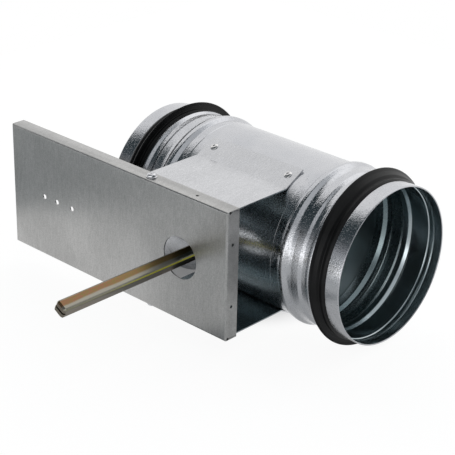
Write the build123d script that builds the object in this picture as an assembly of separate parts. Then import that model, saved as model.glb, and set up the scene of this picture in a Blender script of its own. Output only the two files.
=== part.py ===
from build123d import *
import math
import os

# Round air damper, all sizes in millimetres.
# The origin is where the duct axis (X) and the spindle axis (Y) cross, with +Z up.
# The spindle and the actuator plate point to -Y.

# Duct tube
tube_radius = 62.2            # outside of the plain tube and of both spigots
tube_wall = 0.7
tube_half_length = 118.8

# Each spigot, from its rim towards the duct centre
hem_width = 12.3              # rim folded back on itself, which clamps the gasket's edge
hem_thickness = 1.1           # both layers pressed together
crimp_offset = 6.8            # from the rim to the line pressed into the inner layer
crimp_width = 3.2
crimp_depth = 1.0
seat_width = 14.9             # gasket seat
seat_depth = 1.0              # the seat lies this much below the tube
shoulder_width = 2.2          # rounded shoulder beside the gasket
shoulder_height = 0.3
shoulder_fall = 0.8           # width of its slope down to the seat
groove_width = 9.1            # shallow groove that stiffens the spigot
groove_depth = 1.3
groove_wall_width = 2.5
plain_width = 7.0             # plain tube between the groove and the stop bead
bead_width = 12.1             # raised bead where a pushed-on duct stops
bead_height = 2.7
bead_crest_width = 2.6
bead_crest_offset = 2.8       # from the inner foot of the bead to its crest

# Spigot gasket, a rubber ring with a stepped lip; heights are above the tube
gasket_gap = 0.05             # between rubber and metal
gasket_end_gap = 0.4          # at the inner end of the seat
gasket_hem_gap = 0.1
gasket_base = 1.9             # thickness of the base strip
nose_height = 1.2             # ridge beside the hem
nose_width = 2.1              # hem to ridge
valley_height = 0.4
valley_width = 3.2            # ridge to valley
step_height = 3.2             # edge of the lip's thick foot
step_width = 1.5              # valley to that edge
lip_height = 6.8
lip_lean = 2.3                # from that edge to the lip's tip, along X
lip_tip_thickness = 0.9
lip_back_width = 0.8          # tip to where the lip's back meets the base

# Actuator plate, a long shallow tray folded from sheet
sheet = 1.0
bend_radius = 1.6             # outside radius of the folds
plate_stand_off = 40.3        # from the side of the tube to the front face
plate_right = 47.5
plate_left = 192.9
plate_drop = 10.1             # the plate's top edge lies this much below the top of the tube
flange_depth = 12.4
spindle_hole_radius = 17.0
strap_hole_radius = 2.1
strap_holes = (121.3, 139.2, 154.4)      # distances from the spindle, towards the far end
pilot_hole_radius = 1.25
flange_hole_depth = 6.1       # hole centres behind the front face
flange_pilot_x = 11.5
end_pilot_z = 25.0
relief_radius = 1.1
relief_depth = 2.9            # relief centre behind the front face
corner_slit = 0.35

# Saddle bracket, a U of sheet that carries the plate on the tube
bracket_end_gap = 0.1         # to the inside of the plate's end fold
bracket_hole_margin = 1.0     # its hole is this much larger in radius than the plate's
tab_angle = 28.0              # slope of the tabs that lie on the tube
tab_rise = 11.0               # tab length behind the line where it touches the tube
rivet_x = 38.0
rivet_offset = 2.0            # rivet behind the touching line

# Blind rivets of the saddle
rivet_shank_radius = 1.6
rivet_hole_gap = 0.05
rivet_head_radius = 3.2
rivet_head_height = 1.1
rivet_head_edge = 0.4         # height of the head at its rim
rivet_crown_radius = 2.0      # flat top of the head
rivet_pin_radius = 1.0
rivet_pin_depth = 0.6
rivet_bulb_radius = 2.3
rivet_bulb_length = 2.2
rivet_bulb_end_radius = 1.8

# Plate screws
screw_x = -36.3
screw_shank_radius = 1.9
screw_hole_gap = 0.05
screw_head_radius = 4.2
screw_head_height = 3.2
screw_head_edge = 1.1         # height of the head at its rim
screw_crown_radius = 3.5      # where the head's top begins to round over
screw_crown_drop = 0.6
screw_flat_radius = 2.0
screw_length = 9.0
screw_point = 2.6
recess_width = 1.0
recess_span = 4.4
recess_depth = 1.6
recess_turn = 35.0

# Spindle, a square bar with rounded corners
spindle_side = 10.0
spindle_corner = 2.0
spindle_reach = 116.7         # past the plate's face, towards -Y
spindle_rear_reach = 8.8      # past the tube, towards +Y
spindle_tip_chamfer = 1.3
spindle_slot_width = 1.6      # slot across the end that shows how the blade stands
spindle_slot_depth = 2.2

# Bearings in the tube wall
bush_wall = 2.0               # bush outside its square bore's corner circle
bush_fit = 0.03               # square bore to spindle, each side
bearing_clearance = 0.06      # running clearance, radial
housing_wall = 2.2
housing_press_gap = 0.05      # housing to the hole in the tube
housing_inside = 3.0          # how far the housing stands into the tube
housing_outside = 4.5         # and out of it
housing_flange = 3.6          # flange width
housing_flange_top = 2.0      # flange above the crown of the tube
bush_collar_width = 1.4
bush_collar_length = 1.6
bush_end_play = 0.3
clip_thickness = 0.7
clip_width = 2.6

# Blade of two pressed discs with a rubber seal held between them
blade_rest_angle = 30.0       # the +X half stands this far below level
blade_sheet = 1.0
disc_wall_gap = 3.9           # disc rim to the inside of the tube
seal_thickness = 2.2
seal_wall_gap = 0.35
seal_bite = 7.6               # how far the seal reaches in between the discs
seal_lip_thickness = 0.9
seal_lip_width = 2.6
channel_gap = 0.05            # pressed channel to spindle
channel_slope = 1.3           # sideways run of each channel wall
channel_radius = 1.2
blade_notch_gap = 0.5         # blade to bearing
blade_rivet_radius = 1.5
blade_rivet_head = 2.8
blade_rivet_head_height = 0.9
blade_rivet_flat = 1.7        # radius of the head's flat top
blade_rivet_count = 4         # on each half of the blade
clamp_rivet_inset = 27.6      # from the disc's rim

# Worked out from the sizes above
seat_end = tube_half_length - hem_width
seat_start = seat_end - seat_width
groove_start = seat_start - shoulder_width - groove_width
bead_foot = groove_start - plain_width - bead_width
seat_radius = tube_radius - seat_depth
tube_inner = tube_radius - tube_wall
plate_front = tube_radius + plate_stand_off
plate_half_height = tube_radius - plate_drop
spindle_tip = plate_front + spindle_reach
spindle_rear = tube_radius + spindle_rear_reach
disc_radius = tube_inner - disc_wall_gap
seal_inner_radius = disc_radius - seal_bite
blade_rivet_circle = disc_radius - seal_bite / 2
clamp_rivet_y = disc_radius - clamp_rivet_inset
leg_outer = plate_half_height - sheet
leg_inner = leg_outer - sheet
web_front = plate_front - sheet
bracket_half_width = plate_right - bend_radius - bracket_end_gap
corner_circle = (spindle_side / 2 - spindle_corner) * math.sqrt(2) + spindle_corner
bush_radius = corner_circle + bush_wall
housing_bore = bush_radius + bearing_clearance
housing_radius = housing_bore + housing_wall
housing_inner_face = tube_inner - housing_inside
housing_outer_face = tube_radius + housing_outside
collar_radius = bush_radius + bush_collar_width
collar_inner_face = housing_inner_face - bush_end_play - bush_collar_length
seal_radius = tube_inner - seal_wall_gap
tab_slope = math.radians(tab_angle)


def revolved_about_duct(profile):
    """A closed profile of X and radius, turned about the duct axis."""
    return revolve(profile, Axis.X)


def tube_outline():
    """Points of the tube's outside from the duct centre to the rim, as X and radius."""
    bead_top = tube_radius + bead_height
    groove_floor = tube_radius - groove_depth
    shoulder_top = tube_radius + shoulder_height
    crimp_end = tube_half_length - crimp_offset
    return [
        (0, tube_radius),
        (bead_foot, tube_radius),
        (bead_foot + bead_crest_offset, bead_top),
        (bead_foot + bead_crest_offset + bead_crest_width, bead_top),
        (bead_foot + bead_width, tube_radius),
        (groove_start, tube_radius),
        (groove_start + groove_wall_width, groove_floor),
        (groove_start + groove_width - groove_wall_width, groove_floor),
        (groove_start + groove_width, shoulder_top),
        (seat_start - shoulder_fall, shoulder_top),
        (seat_start, seat_radius),
        (seat_end, seat_radius),
        (seat_end + seat_depth, tube_radius),
        (crimp_end - crimp_width, tube_radius),
        (crimp_end - crimp_width / 2, tube_radius - crimp_depth),
        (crimp_end, tube_radius),
        (tube_half_length, tube_radius),
    ]


def make_duct_body():
    """The tube with its rolled beads, grooves and folded rims, and the two bearing holes."""
    half = tube_outline()
    outside = [(-x, r) for x, r in reversed(half[1:])] + half[1:]
    skin = Polyline(*outside)
    section = skin.offset_2d(tube_wall, kind=Kind.INTERSECTION, side=Side.RIGHT, closed=True)
    hem = Rectangle(hem_width, hem_thickness)
    hem_middle = (tube_half_length - hem_width / 2, tube_radius - hem_thickness / 2)
    hems = [Pos(side * hem_middle[0], hem_middle[1]) * hem for side in (1, -1)]
    tube = revolved_about_duct((make_face(section) + hems).face())
    hole = cylinder_along_y(housing_radius + housing_press_gap, -2 * tube_radius, 2 * tube_radius)
    rivet_hole = Cylinder(rivet_shank_radius + rivet_hole_gap, 4 * rivet_bulb_length)
    return tube - hole - [place * rivet_hole for place in saddle_rivet_places().values()]


def cylinder_along_y(radius, start, end):
    """A round bar along Y between two Y values."""
    bar = Cylinder(radius, end - start)
    return Pos(0, (start + end) / 2, 0) * Rot(90, 0, 0) * bar


def make_gasket():
    """The gasket ring of the +X spigot: base strip, ridge beside the hem, and the stepped lip."""
    foot = seat_radius + gasket_gap
    top = foot + gasket_base
    start = seat_start + gasket_end_gap
    end = seat_end - gasket_hem_gap
    nose = seat_end - nose_width
    valley = nose - valley_width
    step = valley - step_width
    lip_front = step - lip_lean
    lip_back = lip_front - lip_tip_thickness
    profile = [
        (start, foot),
        (end, foot),
        (end, tube_radius),
        (nose, tube_radius + nose_height),
        (valley, tube_radius + valley_height),
        (step, tube_radius + step_height),
        (lip_front, tube_radius + lip_height),
        (lip_back, tube_radius + lip_height),
        (lip_back - lip_back_width, top),
        (start + gasket_base, top),
    ]
    return revolved_about_duct(make_face(Polyline(*profile, close=True)))


def saddle_rivet_places():
    """Where the four saddle rivets sit: the outside of the tab, with Z pointing out of it."""
    places = {}
    touch = tube_radius + sheet
    y = -touch * math.sin(tab_slope) + rivet_offset * math.cos(tab_slope)
    z = touch * math.cos(tab_slope) + rivet_offset * math.sin(tab_slope)
    for side, x in (("right", rivet_x), ("left", -rivet_x)):
        places["upper_" + side] = Pos(x, y, z) * Rot(tab_angle, 0, 0)
        places["lower_" + side] = Pos(x, y, -z) * Rot(180 - tab_angle, 0, 0)
    return places


def make_saddle_rivet(place):
    """A blind rivet: low dome, hollow shank end with its bulb inside the tube."""
    grip = sheet + tube_wall
    profile = make_face(Polyline(
        (0, -grip - rivet_bulb_length), (rivet_bulb_end_radius, -grip - rivet_bulb_length),
        (rivet_bulb_radius, -grip - rivet_bulb_length / 2), (rivet_shank_radius, -grip),
        (rivet_shank_radius, 0), (rivet_head_radius, 0), (rivet_head_radius, rivet_head_edge),
        (rivet_crown_radius, rivet_head_height), (rivet_pin_radius, rivet_head_height),
        (rivet_pin_radius, rivet_head_height - rivet_pin_depth),
        (0, rivet_head_height - rivet_pin_depth), close=True))
    return place * revolve(Plane.XZ * profile, Axis.Z)


def sheet_strip(points, half_width):
    """Folded sheet: inside points of Y and Z, thickened outwards and extruded along X."""
    line = FilletPolyline(*points, radius=bend_radius - sheet)
    outline = line.offset_2d(sheet, kind=Kind.ARC, side=Side.LEFT, closed=True)
    face = Plane.YZ.offset(-half_width) * make_face(outline)
    return extrude(face, amount=2 * half_width, dir=(1, 0, 0))


def make_saddle_bracket():
    """Top leg, web behind the plate and bottom leg in one folded piece, with sloped tabs."""
    contact_y = -tube_radius * math.sin(tab_slope)
    contact_z = tube_radius * math.cos(tab_slope)
    kink_y = contact_y - (contact_z - leg_inner) / math.tan(tab_slope)
    end_y = contact_y + tab_rise * math.cos(tab_slope)
    end_z = contact_z + tab_rise * math.sin(tab_slope)
    web_back = -(web_front - sheet)
    points = [(end_y, -end_z), (kink_y, -leg_inner), (web_back, -leg_inner),
              (web_back, leg_inner), (kink_y, leg_inner), (end_y, end_z)]
    bracket = sheet_strip(points, bracket_half_width)
    hole = cylinder_along_y(spindle_hole_radius + bracket_hole_margin, -plate_front, -tube_radius)
    rivet_hole = Cylinder(rivet_shank_radius + rivet_hole_gap, 4 * rivet_bulb_length)
    cuts = [place * rivet_hole for place in saddle_rivet_places().values()]
    return bracket - hole - cuts - flange_hole_cutters()


def flange_hole_cutters():
    """Upright cutters for the screw and pilot holes in the top and bottom flanges."""
    y = -(plate_front - flange_hole_depth)
    height = 2 * plate_half_height + 4 * sheet
    screw = Pos(screw_x, y, 0) * Cylinder(screw_shank_radius + screw_hole_gap, height)
    pilot = Pos(flange_pilot_x, y, 0) * Cylinder(pilot_hole_radius, height)
    return [screw, pilot]


def make_actuator_plate():
    """The tray: front face with flanges folded back on all four sides."""
    length = plate_left + plate_right
    middle = (plate_right - plate_left) / 2
    height = 2 * plate_half_height
    outer = Box(length, flange_depth, height)
    front = outer.faces().sort_by(Axis.Y)[0]
    outer = fillet(front.edges(), bend_radius)
    inner = Pos(0, sheet, 0) * Box(length - 2 * sheet, flange_depth, height - 2 * sheet)
    inner_front = inner.faces().sort_by(Axis.Y)[0]
    inner = fillet(inner_front.edges(), bend_radius - sheet)
    tray = Pos(middle, -plate_front + flange_depth / 2, 0) * (outer - inner)
    cuts = [cylinder_along_y(spindle_hole_radius, -plate_front - sheet, -plate_front + 2 * sheet)]
    for distance in strap_holes:
        hole = cylinder_along_y(strap_hole_radius, -plate_front - sheet, -plate_front + 2 * sheet)
        cuts.append(Pos(-distance, 0, 0) * hole)
    end_hole = Rot(0, 90, 0) * Cylinder(pilot_hole_radius, 4 * sheet)
    for z in (end_pilot_z, -end_pilot_z):
        cuts.append(Pos(plate_right, -plate_front + flange_hole_depth, z) * end_hole)
    return tray - cuts - flange_hole_cutters() - corner_cutters()


def corner_cutters():
    """Slits between neighbouring flanges, each ending in a small round relief."""
    cuts = []
    relief = Rot(0, 90, 0) * Cylinder(relief_radius, 4 * sheet)
    slit_length = flange_depth - relief_depth
    slit = Box(4 * sheet, slit_length + sheet, corner_slit)
    for x in (plate_right, -plate_left):
        for side in (1, -1):
            z = side * (leg_outer - corner_slit / 2)
            relief_y = -plate_front + relief_depth
            cuts.append(Pos(x, relief_y, z) * relief)
            cuts.append(Pos(x, relief_y + (slit_length + sheet) / 2, z) * slit)
    return cuts


def make_plate_screw(side):
    """Pan-head sheet screw with a cross recess; side is 1 for the top, -1 for the bottom."""
    profile = make_face(Polyline(
        (0, -screw_length), (screw_shank_radius, -screw_length + screw_point),
        (screw_shank_radius, 0), (screw_head_radius, 0),
        (screw_head_radius, screw_head_edge),
        (screw_crown_radius, screw_head_height - screw_crown_drop),
        (screw_flat_radius, screw_head_height), (0, screw_head_height), close=True))
    screw = revolve(Plane.XZ * profile, Axis.Z)
    bar = Box(recess_span, recess_width, 2 * recess_depth)
    recess = Pos(0, 0, screw_head_height) * (bar + Rot(0, 0, 90) * bar)
    y = -(plate_front - flange_hole_depth)
    turn = 0 if side > 0 else 180
    return Pos(screw_x, y, side * plate_half_height) * Rot(turn, 0, recess_turn) * (screw - recess)


def square_bar(side, corner, start, end):
    """A square bar along Y with rounded corners, flats parallel to the blade."""
    face = Plane.XZ * RectangleRounded(side, side, corner)
    return Pos(0, end, 0) * extrude(face, amount=end - start)


def at_blade_angle(shape):
    """Turns a piece made with a level blade to the blade's rest angle."""
    return Rot(0, blade_rest_angle, 0) * shape


def make_spindle():
    bar = square_bar(spindle_side, spindle_corner, -spindle_tip, spindle_rear)
    tip_edges = bar.faces().sort_by(Axis.Y)[0].edges()
    rear_edges = bar.faces().sort_by(Axis.Y)[-1].edges()
    bar = chamfer(list(tip_edges) + list(rear_edges), spindle_tip_chamfer)
    slot = Pos(0, -spindle_tip, 0) * Box(2 * spindle_side, 2 * spindle_slot_depth, spindle_slot_width)
    return at_blade_angle(bar - slot - clamp_rivet_cutters())


def clamp_rivet_cutters():
    """Holes through the spindle and both discs for the rivets that clamp them together."""
    hole = Cylinder(blade_rivet_radius + rivet_hole_gap, 4 * spindle_side)
    return [Pos(0, y, 0) * hole for y in (clamp_rivet_y, -clamp_rivet_y)]


def blade_rivet_points():
    """Rivet places round both halves of the level blade."""
    points = []
    step = 180 / (blade_rivet_count + 1)
    for half in (0, 180):
        for number in range(blade_rivet_count):
            angle = math.radians(half - 90 + step * (number + 1))
            points.append((blade_rivet_circle * math.cos(angle), blade_rivet_circle * math.sin(angle)))
    return points


def blade_rivet_cutters():
    hole = Cylinder(blade_rivet_radius + rivet_hole_gap, 4 * spindle_side)
    return [Pos(x, y, 0) * hole for x, y in blade_rivet_points()]


def bearing_notches():
    """Room round both bearings where they stand into the duct, cut from the level blade."""
    radius = max(housing_radius, collar_radius) + blade_notch_gap
    start = collar_inner_face - blade_notch_gap
    return [cylinder_along_y(radius, start, tube_radius), cylinder_along_y(radius, -tube_radius, -start)]


def make_blade_disc():
    """The upper disc of the level blade: a flat rim with a channel pressed over the spindle."""
    low = seal_thickness / 2
    high = spindle_side / 2 + channel_gap
    inside = spindle_side / 2 + channel_gap
    far = disc_radius + blade_sheet
    points = [(-far, low), (-inside - channel_slope, low), (-inside, high),
              (inside, high), (inside + channel_slope, low), (far, low)]
    line = FilletPolyline(*points, radius=channel_radius - blade_sheet)
    outline = line.offset_2d(blade_sheet, kind=Kind.ARC, side=Side.LEFT, closed=True)
    pressed = extrude(Plane.XZ * make_face(outline), amount=disc_radius + blade_sheet, both=True)
    disc = pressed & Cylinder(disc_radius, 4 * spindle_side)
    return disc - bearing_notches() - blade_rivet_cutters() - clamp_rivet_cutters()


def make_blade_seal(side):
    """One half of the rubber seal: a strip between the discs with a thin lip at its edge."""
    half = seal_thickness / 2
    lip_half = seal_lip_thickness / 2
    root = seal_radius - seal_lip_width
    profile = make_face(Polyline(
        (seal_inner_radius, -half), (root, -half), (seal_radius, -lip_half),
        (seal_radius, lip_half), (root, half), (seal_inner_radius, half), close=True))
    ring = revolve(Plane.XZ * profile, Axis.Z)
    clear = spindle_side / 2 + channel_gap + channel_slope + blade_sheet
    keep = Box(2 * tube_radius, 2 * tube_radius, 2 * spindle_side)
    piece = ring & (Pos(side * (tube_radius + clear), 0, 0) * keep)
    return at_blade_angle(piece - bearing_notches() - blade_rivet_cutters())


def make_rivet(grip):
    """A plain rivet along Z with a low head on each side of its grip."""
    half = grip / 2
    top = half + blade_rivet_head_height
    profile = make_face(Polyline(
        (0, -top), (blade_rivet_flat, -top), (blade_rivet_head, -half),
        (blade_rivet_radius, -half), (blade_rivet_radius, half), (blade_rivet_head, half),
        (blade_rivet_flat, top), (0, top), close=True))
    return revolve(Plane.XZ * profile, Axis.Z)


def make_blade_rivets():
    rivet = make_rivet(seal_thickness + 2 * blade_sheet)
    return at_blade_angle(Compound([Pos(x, y, 0) * rivet for x, y in blade_rivet_points()]))


def make_clamp_rivets():
    rivet = make_rivet(spindle_side + 2 * (channel_gap + blade_sheet))
    return at_blade_angle(Compound([Pos(0, y, 0) * rivet for y in (clamp_rivet_y, -clamp_rivet_y)]))


def make_bearing_housing():
    """Housing of the +Y bearing: a ring through the tube wall with a flange that fits the tube."""
    ring = cylinder_along_y(housing_radius, housing_inner_face, housing_outer_face)
    flange = cylinder_along_y(housing_radius + housing_flange, 0, tube_radius + housing_flange_top)
    around = Rot(0, 90, 0) * Cylinder(tube_radius + housing_press_gap, 2 * tube_radius)
    bore = cylinder_along_y(housing_bore, 0, 2 * tube_radius)
    return ring + (flange - around) - bore


def make_spindle_bush():
    """Bush of the +Y bearing: square inside, round outside, with a collar within the duct."""
    body = cylinder_along_y(bush_radius, collar_inner_face, housing_outer_face + bush_end_play)
    collar = cylinder_along_y(collar_radius, collar_inner_face, collar_inner_face + bush_collar_length)
    bore = square_bar(spindle_side + 2 * bush_fit, spindle_corner + bush_fit, 0, 2 * tube_radius)
    return at_blade_angle(body + collar - bore)


def make_spindle_clip():
    """Push-on washer that keeps the +Y bush in its housing."""
    start = housing_outer_face + bush_end_play
    ring = cylinder_along_y(bush_radius + clip_width, start, start + clip_thickness)
    bore = square_bar(spindle_side + 2 * bush_fit, spindle_corner + bush_fit, 0, 2 * tube_radius)
    return at_blade_angle(ring - bore)


def make_parts():
    """Every piece by name."""
    gasket = make_gasket()
    disc = make_blade_disc()
    parts = {
        "duct_body": make_duct_body(),
        "spigot_gasket_right": gasket,
        "spigot_gasket_left": mirror(gasket, Plane.YZ),
        "saddle_bracket": make_saddle_bracket(),
        "actuator_plate": make_actuator_plate(),
        "plate_screw_upper": make_plate_screw(1),
        "plate_screw_lower": make_plate_screw(-1),
        "spindle": make_spindle(),
        "blade_disc_upper": at_blade_angle(disc),
        "blade_disc_lower": at_blade_angle(Rot(0, 180, 0) * disc),
        "blade_seal_right": make_blade_seal(1),
        "blade_seal_left": make_blade_seal(-1),
        "blade_rivets": make_blade_rivets(),
        "blade_clamp_rivets": make_clamp_rivets(),
    }
    for name, place in saddle_rivet_places().items():
        parts["saddle_rivet_" + name] = make_saddle_rivet(place)
    for name, piece in (("bearing_housing", make_bearing_housing()),
                        ("spindle_bush", make_spindle_bush()),
                        ("spindle_clip", make_spindle_clip())):
        parts[name + "_rear"] = piece
        parts[name + "_front"] = mirror(piece, Plane.XZ)
    return parts


os.makedirs("parts", exist_ok=True)
for node, shape in make_parts().items():
    export_step(shape, "parts/" + node + ".step")
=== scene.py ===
"""Round air damper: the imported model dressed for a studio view."""

import logging
import math
from abc import ABC, abstractmethod
from dataclasses import dataclass, field, replace
from enum import Enum
from typing import Callable, Iterable, Sequence

import bmesh
import bpy
from mathutils import Matrix, Vector


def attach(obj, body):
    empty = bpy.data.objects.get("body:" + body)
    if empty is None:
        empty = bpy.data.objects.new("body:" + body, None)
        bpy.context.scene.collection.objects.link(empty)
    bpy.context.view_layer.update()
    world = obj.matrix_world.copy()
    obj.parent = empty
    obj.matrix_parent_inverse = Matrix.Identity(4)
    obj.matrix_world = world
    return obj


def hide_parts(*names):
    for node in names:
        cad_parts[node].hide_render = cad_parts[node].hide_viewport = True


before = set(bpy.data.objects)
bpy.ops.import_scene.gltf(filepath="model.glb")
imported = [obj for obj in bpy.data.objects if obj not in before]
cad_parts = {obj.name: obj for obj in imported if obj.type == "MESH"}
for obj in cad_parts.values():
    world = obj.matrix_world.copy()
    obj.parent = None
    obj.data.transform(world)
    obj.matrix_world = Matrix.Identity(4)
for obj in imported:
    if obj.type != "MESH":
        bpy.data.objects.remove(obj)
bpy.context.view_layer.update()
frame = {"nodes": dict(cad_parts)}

LOG = logging.getLogger("air_damper")
MM = 0.001
SAME = 1e-9
WELD = 1e-6

Point = tuple[float, float]
Colour = tuple[float, float, float]
Stops = tuple[tuple[float, Colour], ...]


class Side(Enum):
    """The end of the duct that a piece belongs to."""

    RIGHT = 1
    LEFT = -1


class Grain(Enum):
    """Which way the rolling marks of a sheet run, as the scale of its pattern along X, Y and Z."""

    UPRIGHT = (1.0, 0.12, 0.12)
    AROUND = (1.0, 0.05, 0.05)


# Shader maths


@dataclass(frozen=True)
class Signal:
    """One output of a node, which takes part in sums as a number does."""

    graph: "Graph"
    socket: bpy.types.NodeSocket

    def __add__(self, other: "Signal | float") -> "Signal":
        """The sum."""
        return self.graph.maths("ADD", self, other)

    def __radd__(self, other: float) -> "Signal":
        """The sum with a number in front."""
        return self.graph.maths("ADD", other, self)

    def __sub__(self, other: "Signal | float") -> "Signal":
        """The difference."""
        return self.graph.maths("SUBTRACT", self, other)

    def __rsub__(self, other: float) -> "Signal":
        """The difference from a number in front."""
        return self.graph.maths("SUBTRACT", other, self)

    def __mul__(self, other: "Signal | float") -> "Signal":
        """The product."""
        return self.graph.maths("MULTIPLY", self, other)

    def __rmul__(self, other: float) -> "Signal":
        """The product with a number in front."""
        return self.graph.maths("MULTIPLY", other, self)

    def __truediv__(self, other: "Signal | float") -> "Signal":
        """The quotient."""
        return self.graph.maths("DIVIDE", self, other)

    def __pow__(self, other: float) -> "Signal":
        """The power."""
        return self.graph.maths("POWER", self, other)

    def __abs__(self) -> "Signal":
        """The size without its sign."""
        return self.graph.maths("ABSOLUTE", self, 0.0)

    def clamped(self) -> "Signal":
        """The value held between 0 and 1."""
        return self.graph.maths("MULTIPLY", self, 1.0, use_clamp=True)


class Graph:
    """The node tree of one material or of the world, built from expressions."""

    def __init__(self, tree: bpy.types.NodeTree) -> None:
        """Empties the tree.

        Args:
            tree: the node tree that is filled.
        """
        self.tree = tree
        tree.nodes.clear()

    def put(self, kind: str, settings: dict | None = None, values: dict | None = None,
            output: int | str = 0) -> Signal:
        """Adds any node.

        Args:
            kind: the node's type.
            settings: its settings, set first; "stops" fills a colour ramp.
            values: a number, colour or signal for each of its sockets, by name or index.
            output: which of its outputs is wanted.

        Returns:
            The output, as a signal.
        """
        node = self.tree.nodes.new(kind)
        for name, value in (settings or {}).items():
            if name == "stops":
                self._fill_ramp(node.color_ramp, value)
            else:
                setattr(node, name, value)
        for key, value in (values or {}).items():
            self.feed(node.inputs[key], value)
        if not len(node.outputs):
            return Signal(self, node.inputs[0])
        return Signal(self, node.outputs[output])

    @staticmethod
    def _fill_ramp(ramp: bpy.types.ColorRamp, stops: Stops) -> None:
        """Gives a ramp its stops, each a place and a colour."""
        while len(ramp.elements) < len(stops):
            ramp.elements.new(0.5)
        for element, (place, colour) in zip(ramp.elements, stops):
            element.position = place
            element.color = (*colour, 1.0)

    def feed(self, socket: bpy.types.NodeSocket, value: object) -> None:
        """Links a signal to a socket, or sets its number or colour."""
        if isinstance(value, Signal):
            self.tree.links.new(value.socket, socket)
        elif isinstance(value, (tuple, list)) and len(socket.default_value) == 4:
            socket.default_value = (*value[:3], 1.0)
        else:
            socket.default_value = value

    def maths(self, operation: str, a: "Signal | float", b: "Signal | float",
              use_clamp: bool = False) -> Signal:
        """One Math node."""
        return self.put("ShaderNodeMath", {"operation": operation, "use_clamp": use_clamp},
                        {0: a, 1: b})

    def blend(self, factor: "Signal | float", low: "Signal | Colour",
              high: "Signal | Colour") -> Signal:
        """A colour between two colours."""
        return self.put("ShaderNodeMix", {"data_type": "RGBA"}, {0: factor, 6: low, 7: high}, output=2)

    def tones(self, stops: Stops, value: Signal) -> Signal:
        """The colour that a ramp of stops has at a value."""
        return self.put("ShaderNodeValToRGB", {"stops": stops}, {0: value})

    def scaled(self, vector: Signal, scale: Sequence[float]) -> Signal:
        """A vector with each part multiplied by its own number."""
        return self.put("ShaderNodeVectorMath", {"operation": "MULTIPLY"},
                        {0: vector, 1: tuple(scale)})

    def place(self) -> Signal:
        """Object coordinates, in metres."""
        return self.put("ShaderNodeTexCoord", output="Object")

    def parts(self, vector: Signal) -> tuple[Signal, Signal, Signal]:
        """The three parts of a vector."""
        node = self.put("ShaderNodeSeparateXYZ", None, {0: vector}).socket.node
        return tuple(Signal(self, node.outputs[i]) for i in range(3))

    def noise(self, vector: Signal, scale: float, detail: float = 2.0,
              roughness: float = 0.5) -> Signal:
        """Cloudy noise between 0 and 1."""
        return self.put("ShaderNodeTexNoise", None,
                        {"Vector": vector, "Scale": scale, "Detail": detail, "Roughness": roughness})

    def ramp(self, value: Signal, low: float, high: float, start: float = 0.0,
             end: float = 1.0) -> Signal:
        """A soft step from start to end while the value goes from low to high."""
        return self.put("ShaderNodeMapRange", {"interpolation_type": "SMOOTHSTEP"},
                        {"Value": value, "From Min": low, "From Max": high,
                         "To Min": start, "To Max": end})

    def bump(self, height: Signal, distance: float, normal: Signal | None = None) -> Signal:
        """Bends a normal by a height.

        Args:
            height: the height, between 0 and 1.
            distance: its full depth in metres.
            normal: a normal that is bent already; the mesh's own if there is none.

        Returns:
            The normal.
        """
        values = {"Height": height, "Distance": distance, "Strength": 1.0}
        if normal is not None:
            values["Normal"] = normal
        return self.put("ShaderNodeBump", None, values, output="Normal")


# Finishes


class Finish(ABC):
    """What a surface is made of and how it was worked."""

    @abstractmethod
    def sockets(self, graph: Graph) -> dict:
        """The value of each socket of the Principled shader."""

    def material(self, name: str) -> bpy.types.Material:
        """Makes a material of one Principled shader.

        Args:
            name: the material's name.

        Returns:
            The material.
        """
        material = bpy.data.materials.new(name)
        material.use_nodes = True
        graph = Graph(material.node_tree)
        shader = graph.put("ShaderNodeBsdfPrincipled", None, self.sockets(graph))
        graph.put("ShaderNodeOutputMaterial", None, {"Surface": shader})
        return material


@dataclass(frozen=True)
class BrightGalvanised(Finish):
    """Hot-dipped sheet, rolled smooth: nearly a mirror, and grainy where pressing has stretched it."""

    zinc: Colour = (0.585, 0.59, 0.61)
    dull_zinc: Colour = (0.52, 0.53, 0.555)
    roughness: float = 0.06
    speck_roughness: float = 0.30
    satin: float = 0.20
    spangle_size: float = 6.0 * MM
    speck_size: float = 0.9 * MM
    dimple_size: float = 0.8 * MM
    dimple_depth: float = 0.12 * MM
    mark_scale: float = 900.0
    mark_depth: float = 0.006 * MM
    cloud_scale: float = 28.0
    pressed_from: float = 51.0 * MM
    pressed_fade: float = 5.0 * MM
    flat_share: float = 0.40

    def sockets(self, graph: Graph) -> dict:
        """The value of each socket of the Principled shader."""
        place = graph.place()
        cells = graph.put("ShaderNodeTexVoronoi", {"feature": "F1"},
                          {"Vector": place, "Scale": 1 / self.spangle_size}, output="Color")
        spangle, _, _ = graph.parts(cells)
        clouds = graph.noise(place, self.cloud_scale, 3.0)
        marks = graph.noise(graph.scaled(place, Grain.AROUND.value), self.mark_scale, 3.0)
        dimples = graph.noise(place, 1 / self.dimple_size, 1.0, 0.4)
        dull = (0.35 * spangle + 0.65 * graph.ramp(clouds, 0.35, 0.7)).clamped()
        specks = graph.ramp(graph.noise(place, 1 / self.speck_size, 1.0), 0.54, 0.66)
        along, _, _ = graph.parts(place)
        pressed = graph.ramp(abs(along), self.pressed_from, self.pressed_from + self.pressed_fade,
                             self.flat_share, 1.0)
        rough = (self.roughness + 0.04 * spangle * graph.ramp(clouds, 0.3, 0.75) + 0.03 * marks
                 + self.speck_roughness * specks * pressed + self.satin * (1.0 - pressed))
        dimpled = graph.bump(dimples * pressed, self.dimple_depth)
        return {"Base Color": graph.blend(dull, self.zinc, self.dull_zinc), "Metallic": 1.0,
                "Roughness": rough, "Normal": graph.bump(marks, self.mark_depth, dimpled)}


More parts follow.
